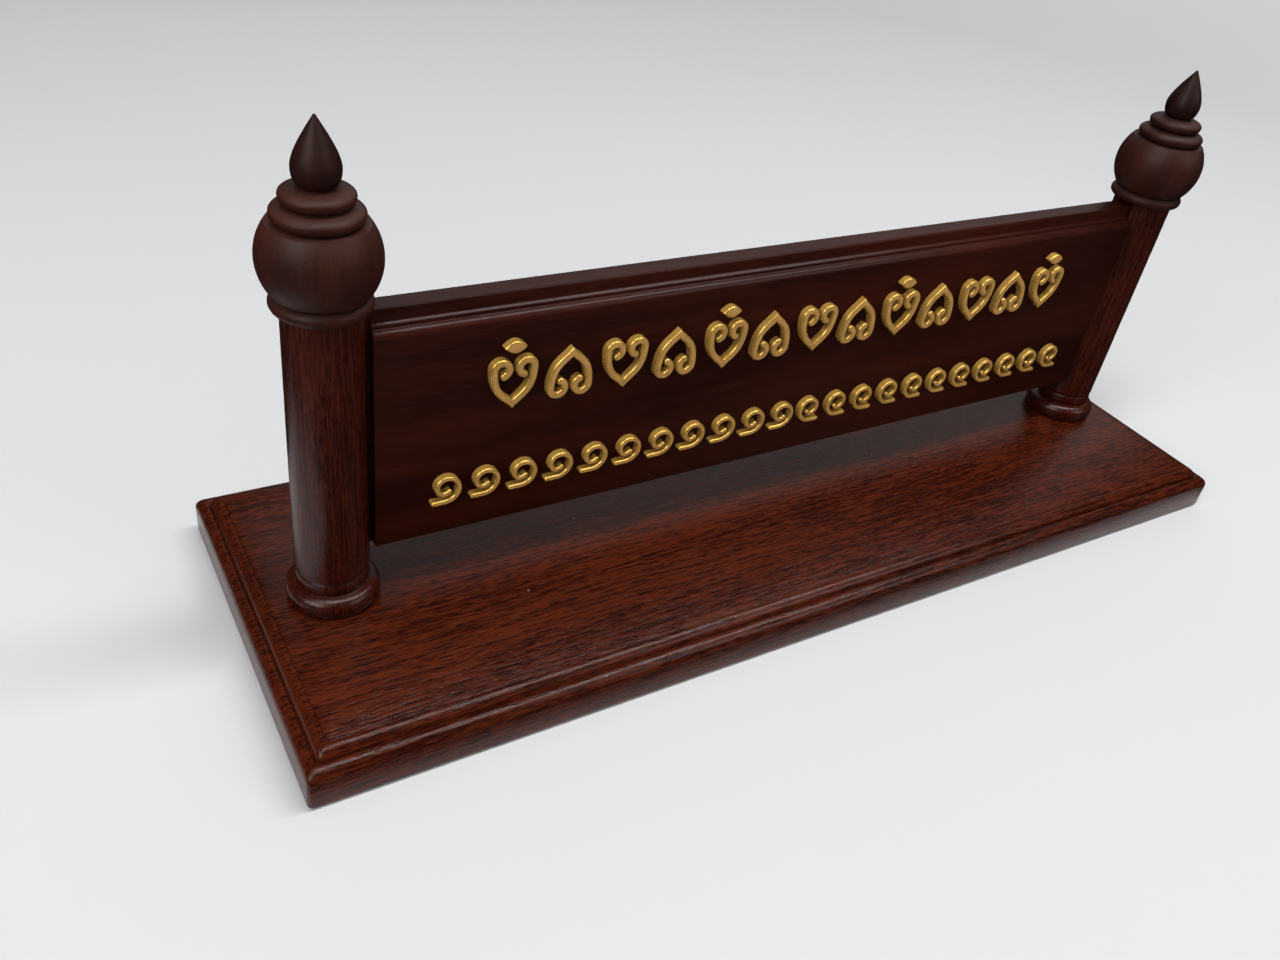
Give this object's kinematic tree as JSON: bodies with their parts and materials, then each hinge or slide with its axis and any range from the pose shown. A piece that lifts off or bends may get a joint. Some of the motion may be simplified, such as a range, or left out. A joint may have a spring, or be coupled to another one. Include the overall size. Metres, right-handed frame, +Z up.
{
  "type": "desk name plaque stand",
  "caption": "Stained wood desk plaque: moulded base board, two turned posts with ball and bud finials, and an upright board between them carrying two rows of gilt scroll ornament",
  "frame": {"origin": "centre of the base board's underside", "axes": "+X along the stand from the left post to the right post, -Y out of the ornamented face, +Z up"},
  "size_m": [0.381, 0.127, 0.1642],
  "materials": {
    "base_wood": "red-brown mahogany stain, open pores, satin lacquer",
    "post_wood": "red-brown mahogany stain, grain upright, semi-gloss lacquer",
    "finial_wood": "brown stain, nearly matt lacquer",
    "board_wood": "very dark red-brown stain, smooth gloss lacquer",
    "gilt": "cut from sheet, metallic gold face and sides",
    "screw_steel": "plain zinc-plated wood screw"
  },
  "bodies": {
    "root": {"base_board": "base_wood", "left_post": "post_wood", "right_post": "post_wood", "left_finial": "finial_wood", "right_finial": "finial_wood", "name_board": "board_wood", "left_post_screw": "screw_steel", "right_post_screw": "screw_steel", "heart_scroll_1": "gilt", "heart_scroll_2": "gilt", "heart_scroll_3": "gilt", "heart_scroll_4": "gilt", "heart_scroll_5": "gilt", "heart_scroll_6": "gilt", "heart_scroll_7": "gilt", "heart_scroll_8": "gilt", "heart_scroll_9": "gilt", "heart_scroll_10": "gilt", "heart_scroll_11": "gilt", "heart_scroll_12": "gilt", "heart_scroll_13": "gilt", "wave_scroll_1": "gilt", "wave_scroll_2": "gilt", "wave_scroll_3": "gilt", "wave_scroll_4": "gilt", "wave_scroll_5": "gilt", "wave_scroll_6": "gilt", "wave_scroll_7": "gilt", "wave_scroll_8": "gilt", "wave_scroll_9": "gilt", "wave_scroll_10": "gilt", "wave_scroll_11": "gilt", "wave_scroll_12": "gilt", "wave_scroll_13": "gilt", "wave_scroll_14": "gilt", "wave_scroll_15": "gilt", "wave_scroll_16": "gilt", "wave_scroll_17": "gilt", "wave_scroll_18": "gilt", "wave_scroll_19": "gilt", "wave_scroll_20": "gilt", "wave_scroll_21": "gilt", "wave_scroll_22": "gilt", "leaf_1": "gilt", "leaf_2": "gilt", "leaf_3": "gilt", "leaf_4": "gilt"}
  },
  "joints": []
}
